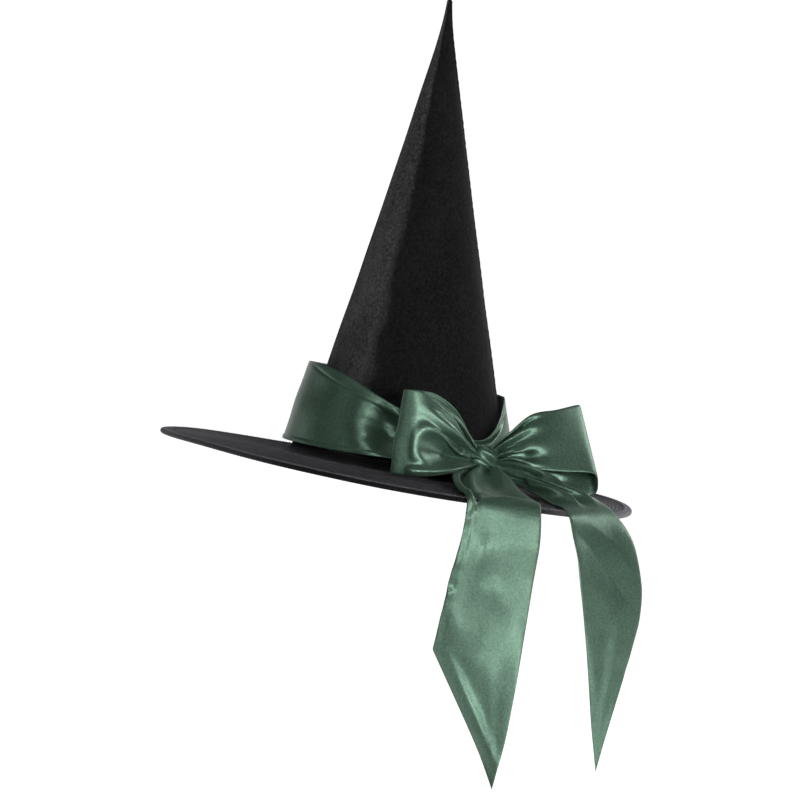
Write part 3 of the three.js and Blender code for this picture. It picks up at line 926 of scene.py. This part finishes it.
def build_knot(finish):
    """The ribbon drawn tight round the middle: a slanting wrap with crushed pleats."""
    around, across = 128, 56
    up = np.array([0, 0, 1.0])
    wrap_along = ASIDE * math.cos(KNOT_SLANT) - up * math.sin(KNOT_SLANT)
    wrap_across = ASIDE * math.sin(KNOT_SLANT) + up * math.cos(KNOT_SLANT)
    u = np.arange(around)[:, None] / around * TAU
    v = np.linspace(-1, 1, across)[None, :]
    pinch = 1 - 0.34 * np.abs(v) ** 3
    side_pinch = 1 + 0.25 * v * np.sin(u)
    crush = 0.00105 * np.sin(5.6 * v + 1.3 * np.sin(u + 0.7)) * (1 - np.abs(v) ** 6)
    crush = crush + 0.0006 * np.sin(4.3 * v - 2 * u) * (1 - np.abs(v) ** 4)
    long = (0.0134 * pinch + crush) * np.sin(u)
    deep = (0.0092 * pinch + crush) * np.cos(u)
    over = 0.0102 * v * side_pinch + 0.0012 * np.sin(u + 0.4)
    middle = KNOT + long[..., None] * wrap_along + deep[..., None] * OUTWARD
    middle = middle + over[..., None] * wrap_across
    piece = cloth("satin_knot", middle, 0.0006, ring=True)
    place_piece(piece, finish, ["bow_knot"])


# ------------------------------------------------------------------ tails

# Rows of [left edge, right edge], X, Y, Z in millimetres, from under the knot over the
# brim and down, as if the ribbon were not cut: the slanting cut takes one edge across
# to the other, from row CUT_FROM to the last.
FRONT_TAIL = [
    [(84, 66, 6), (80, 82, 4)],
    [(106, 46, 2), (104, 95, -3)],
    [(142, 44, -4), (132, 106, -12)],
    [(178, 50, -10), (156, 119, -19.5)],
    [(202, 56, -13.2), (171, 123.5, -22.5)],
    [(210.5, 57.5, -22), (178.5, 124, -32)],
    [(211, 54, -46), (180, 122, -57)],
    [(209, 43, -80), (182, 117, -90)],
    [(204, 35, -113), (187, 112, -124)],
    [(198.5, 27, -150), (191, 106, -160)],
    [(193, 18, -187), (194, 99, -198)],
    [(188, 9, -225), (196.5, 91, -237)],
    [(184, 0, -263), (198.5, 80, -275)],
]
REAR_TAIL = [
    [(82, 72, 6), (70, 82, 10)],
    [(92, 98, -7), (80, 104, 8)],
    [(112, 120, -17), (86, 128, 0)],
    [(129, 134, -23), (91, 150, -11)],
    [(141, 143, -26), (95, 175, -21)],
    [(152, 150, -36), (99, 193, -36)],
    [(156, 154, -60), (101, 205, -58)],
    [(156, 157, -92), (103, 213, -98)],
    [(153, 161, -121), (106, 213.5, -124)],
    [(149, 163, -145), (110, 210, -152)],
    [(145, 166, -184), (111, 211, -190)],
    [(141, 169, -222), (112, 216, -228)],
    [(137, 173, -262), (113, 222, -264)],
]
CUT_FROM = 9


def cut_across(middle, row, from_left):
    """The slanting cut: the points of each row close up towards the uncut edge. The
    front tail's cut starts at a corner, the rear tail's in a round."""
    past = row - CUT_FROM
    soft = 0.02 if from_left else 0.7
    past = (past + np.hypot(past, soft)) / 2
    done = 0.997 * (past - past[0]) / (past[-1] - past[0])
    rows, columns = middle.shape[:2]
    s = np.linspace(0, 1, columns)[None, :]
    place = (done + (1 - done) * s if from_left else (1 - done) * s) * (columns - 1)
    j = np.minimum(place.astype(int), columns - 2)
    t = (place - j)[..., None]
    i = np.arange(rows)[:, None]
    return middle[i, j] * (1 - t) + middle[i, j + 1] * t


def front_folds(row, s, width):
    """The front tail's rolled left edge, and a pocket and ridges before the brim edge."""
    on_brim = smooth(0.3, 1.1, row) * (1 - smooth(3.8, 5.6, row))
    from_edge = s * width
    roll = 0.0052 * bump(from_edge, 0.0042, 0.0036) - 0.0024 * bump(from_edge, 0.0110, 0.0026)
    pocket = -0.0034 * bump(row, 3.1, 0.6) * bump(s, 0.70, 0.15)
    ridge = 0.0034 * bump(row + 0.9 * s, 4.3, 0.34) * bump(s, 0.62, 0.24)
    fold = 0.0024 * bump(row - 0.8 * s, 3.2, 0.32) * bump(s, 0.33, 0.12)
    return roll * on_brim + pocket + ridge + fold


def hanging(row):
    """0 where a tail lies on the brim, 1 where it hangs."""
    return smooth(4.6, 6.4, row)


def front_hang(row, s, width):
    """Soft billows in the hanging part, its dents, and the curl along its cut edge."""
    across = 0.0030 * np.sin(TAU * (0.15 * row + 0.35 * s) + 0.4)
    dents = 0.0024 * bump(row, 6.4, 0.5) * bump(s, 0.30, 0.16)
    dents = dents + 0.0016 * bump(row - s, 6.9, 0.35) * bump(s, 0.52, 0.16)
    dents = dents + 0.0034 * bump(row - 1.7 * s, 8.1, 0.6) * bump(s, 0.28, 0.26)
    from_edge = s * width
    curl = 0.0052 * bump(from_edge, -0.001, 0.0056) - 0.0018 * bump(from_edge, 0.0125, 0.006)
    curl = curl * smooth(8.7, 9.3, row) * np.minimum(1, width / 0.02)
    billow = (across + dents) * np.minimum(1, width / 0.05) - curl
    return billow * hanging(row) + hem(row, from_edge)


def hem(row, from_edge):
    """The front tail's left edge above the cut: a line of sewing and an uneven roll."""
    seam = -0.0004 * bump(from_edge, 0.0062, 0.0012) * smooth(2.8, 5.6, row)
    uneven = wander(3.6 * row, 0, 15, 3) + 0.5 * wander(12 * row, 0, 16, 2)
    roll = 0.0014 * uneven * bump(from_edge, 0.003, 0.0036) * hanging(row)
    return (seam + roll) * (1 - smooth(8.6, 9.1, row))


def rear_folds(row, s, width):
    """Ridges that run out along the rear tail and end where it bends over the brim."""
    on_brim = smooth(0.4, 1.4, row) * (1 - smooth(3.3, 4.5, row))
    near = 0.0050 * bump(s, 0.26 + 0.033 * row, 0.07) - 0.0026 * bump(s, 0.42 + 0.033 * row, 0.07)
    far = 0.0040 * bump(s, 0.72 + 0.025 * row, 0.07)
    return (near + far) * on_brim


def rear_hang(row, s, width):
    """The rear tail's slanting crease and its level one lower down."""
    slope = np.abs(np.clip((s - 0.15) - 0.33 * (row - 5.7), -0.4, 0.4))
    slant = 0.0072 * slope * bump(row, 6.3, 1.4)
    level = -0.0005 * bump(row, 9.6, 0.16) * smooth(0.1, 0.5, s)
    sway = 0.0022 * np.sin(TAU * 0.09 * row + 2.6)
    return (slant + level + sway) * np.minimum(1, width / 0.05) * hanging(row)


def build_tail(side, edges, cut_left, finish, seed, folds, hangs):
    """One tail: its gathered start, the lie over the brim and the slanting cut."""
    rows, columns = 240, 60
    row = np.linspace(0, len(edges) - 1, rows)[:, None]
    middle = cut_across(between(edges, rows, columns), row, cut_left)
    middle = gathered_start(middle, seed)
    s = np.linspace(0, 1, columns)[None, :]
    width = np.linalg.norm(middle[:, -1] - middle[:, 0], axis=-1)[:, None]
    ripple = 0.0008 * wander(0.7 * row, 3 * s, seed + 3) * np.minimum(1, width / 0.04)
    middle = pushed(middle, hangs(row, s, width) + ripple * hanging(row))
    middle = middle + up_normals(middle) * folds(row, s, width)[..., None]
    piece = cloth(f"satin_tail_{side}", middle, ribbon_half(columns, 0.0006))
    place_piece(piece, finish, [f"tail_{side}_on_brim", f"tail_{side}"], body=None)
    bend_at_edge(piece, f"{side}_tail")


def bend_at_edge(piece, body):
    """Bakes a tail's placement into its mesh. The pivot and outward direction of its swing joint at
    the brim's edge are worked out but not used.
    """
    joint = JOINTS[body + "_swing"]
    pivot, down = np.array(joint["pos_m"]), np.array([0, 0, -1.0])
    outward = np.cross(np.array(joint["axis"]), down)
    outward = outward / np.linalg.norm(outward)
    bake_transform(piece)


def gathered_start(middle, seed):
    """Pleats only where the ribbon leaves the knot, dying out across the brim."""
    rows, columns = middle.shape[:2]
    s = np.linspace(0, 1, columns)[None, :]
    a = np.linspace(0, 1, rows)[:, None]
    width = np.linalg.norm(middle[:, -1] - middle[:, 0], axis=-1)[:, None]
    squeeze = RIBBON_WIDTH / np.maximum(width, 0.01)
    fade = 1 - smooth(0.14, 0.40, a)
    slope = np.minimum(np.sqrt(np.maximum(2 * (squeeze**2 - 1), 0)) * fade, 4)
    pleats = 2.5
    fold = np.sin(TAU * (pleats * s + 0.3 * np.sin(3 * s + seed)) + 8 * a)
    height = 0.6 * slope * width / (TAU * pleats) * (fold + 0.6)
    return middle + up_normals(middle) * height[..., None]


def up_normals(middle):
    """The strip's normals, each turned to its upper side."""
    normal = grid_normals(middle, False)
    return normal * np.sign(normal[..., 2:3] + 1e-9)


# ------------------------------------------------------------------ studio


CAMERA_AIM = Vector((0.0, -0.0018, 0.0648))
CAMERA_ELEVATION = math.radians(2.2)
CAMERA_DISTANCE = 20.0
VIEW_WIDTH = 0.720
SENSOR_WIDTH = 36
# Where each lamp stands, its side in metres and its power in watts.
LAMPS = {
    "camera_softbox": ((3.6, 0.0, 1.0), 1.0, 27),
    "near_key": ((3.3, 1.5, 0.0), 1.0, 50),
    "side_key": ((2.3, 2.9, 0.0), 1.0, 42),
    "back_rim": ((-1.5, 2.8, 1.25), 0.8, 24),
    "front_fill": ((2.9, -1.65, 1.5), 1.0, 9),
    "front_rim": ((-1.4, -3.2, 0.6), 1.0, 5),
    "top_softbox": ((0.8, 0.2, 3.3), 1.0, 3),
}


def build_studio():
    build_camera()
    bpy.ops.mesh.primitive_plane_add(size=160, location=(0, 0, CAD_BOX[0][2] - 0.03))
    floor = bpy.context.active_object
    floor.name = "studio_floor"
    floor.data.materials.append(pale_floor())
    bpy.context.scene.view_settings.view_transform = "Standard"
    build_world()
    for name, (place, size, power) in LAMPS.items():
        lamp(name, place, size, power)


def build_camera():
    """Looks at the wearer's left side from slightly above, through a long lens."""
    data = bpy.data.cameras.new("studio_camera")
    camera = bpy.data.objects.new("studio_camera", data)
    bpy.context.scene.collection.objects.link(camera)
    back = Vector((math.cos(CAMERA_ELEVATION), 0, math.sin(CAMERA_ELEVATION)))
    camera.location = CAMERA_AIM + back * CAMERA_DISTANCE
    camera.rotation_euler = (math.pi / 2 - CAMERA_ELEVATION, 0, math.pi / 2)
    data.sensor_width = SENSOR_WIDTH
    data.lens = SENSOR_WIDTH * CAMERA_DISTANCE / VIEW_WIDTH
    data.clip_end = 200
    bpy.context.scene.camera = camera


def pale_floor():
    """A floor that looks white. It glows behind the hat and hardly at all before it."""
    made, tree, shader = material("pale_floor", Base_Color=(0.80, 0.80, 0.80, 1), Roughness=0.95)
    near = split(tree, object_place(tree))[0]
    glow = mapped(tree, near, (-0.4, 1.0), (0.95, 0.06), interpolation_type="SMOOTHSTEP")
    shader.inputs["Emission Color"].default_value = (1, 1, 1, 1)
    tree.links.new(seen_as(tree, 0.95, glow), shader.inputs["Emission Strength"])
    return made


def seen_as(tree, seen, cast):
    """Strength of a backdrop that looks evenly lit, whatever light it casts."""
    looked_at = node(tree, "LightPath").outputs["Is Camera Ray"]
    return math_node(tree, "MAXIMUM", cast, times(tree, looked_at, seen))


def build_world():
    """Looks white on every side. It lights the hat as a white wall behind it would, and
    as a dim room everywhere else."""
    world = bpy.data.worlds.new("studio_world")
    bpy.context.scene.world = world
    world.use_nodes = True
    tree = world.node_tree
    background = tree.nodes["Background"]
    near = split(tree, node(tree, "TexCoord").outputs["Generated"])[0]
    shade = mapped(tree, near, (-0.96, -0.6), (1.0, 0.05), interpolation_type="SMOOTHSTEP")
    tree.links.new(seen_as(tree, 1.0, shade), background.inputs["Strength"])
    background.inputs["Color"].default_value = (1, 1, 1, 1)


def lamp(name, place, size, power):
    data = bpy.data.lights.new(name, "AREA")
    data.size = size
    data.energy = power
    made = bpy.data.objects.new(name, data)
    bpy.context.scene.collection.objects.link(made)
    made.visible_camera = False
    made.location = place
    aim = Vector((0, 0, 0.05)) - Vector(place)
    made.rotation_euler = aim.to_track_quat("-Z", "Y").to_euler()


# ------------------------------------------------------------------ assembly

build_studio()

# For the crown, the lighter pile colour is mostly painted sheen, in its two stretches.
dark_pile, lit_pile = (0.0038, 0.0038, 0.0041), (0.0900, 0.0900, 0.0915)
crown_velvet = velour("crown_velvet", dark_pile, lit_pile, 0.12, with_painted_sheen=True)
dark_pile, lit_pile = (0.0030, 0.0030, 0.0032), (0.0085, 0.0085, 0.0089)
brim_velvet = velour("brim_velvet", dark_pile, lit_pile, 0.21, stitches=True)
dark_pile, lit_pile = (0.0045, 0.0045, 0.0048), (0.0130, 0.0130, 0.0136)
edge_velvet = velour("edge_velvet", dark_pile, lit_pile, 0.28)
green_satin = satin()
foam_felt = plain_cloth("foam_felt", (0.012, 0.012, 0.013), (0.035, 0.035, 0.037))
black_felt = plain_cloth("black_felt", (0.010, 0.010, 0.010), (0.028, 0.028, 0.028))
ribbed_tape = plain_cloth("ribbed_tape", (0.008, 0.008, 0.008), (0.024, 0.024, 0.025), rib=260)
label_weave = plain_cloth("label_weave", (0.62, 0.62, 0.59), (0.80, 0.80, 0.77), rib=700)
black_thread = thread_material("black_thread", (0.006, 0.006, 0.006), (0.020, 0.020, 0.020))

build_crown(crown_velvet, foam_felt)
build_brim(brim_velvet)
build_edge(edge_velvet, black_thread)
build_inside(ribbed_tape, black_felt, label_weave)
build_sash(green_satin)
build_front_loop(green_satin)
build_rear_loop(green_satin)
build_knot(green_satin)
build_tail("front", FRONT_TAIL, True, green_satin, 7, front_folds, front_hang)
build_tail("rear", REAR_TAIL, False, green_satin, 2, rear_folds, rear_hang)

wire_finish = steel()
repaint("brim_edge_wire", wire_finish)
repaint("wire_joiner", wire_finish)
for number in range(1, 5):
    repaint(f"band_tack_{number}", black_thread)
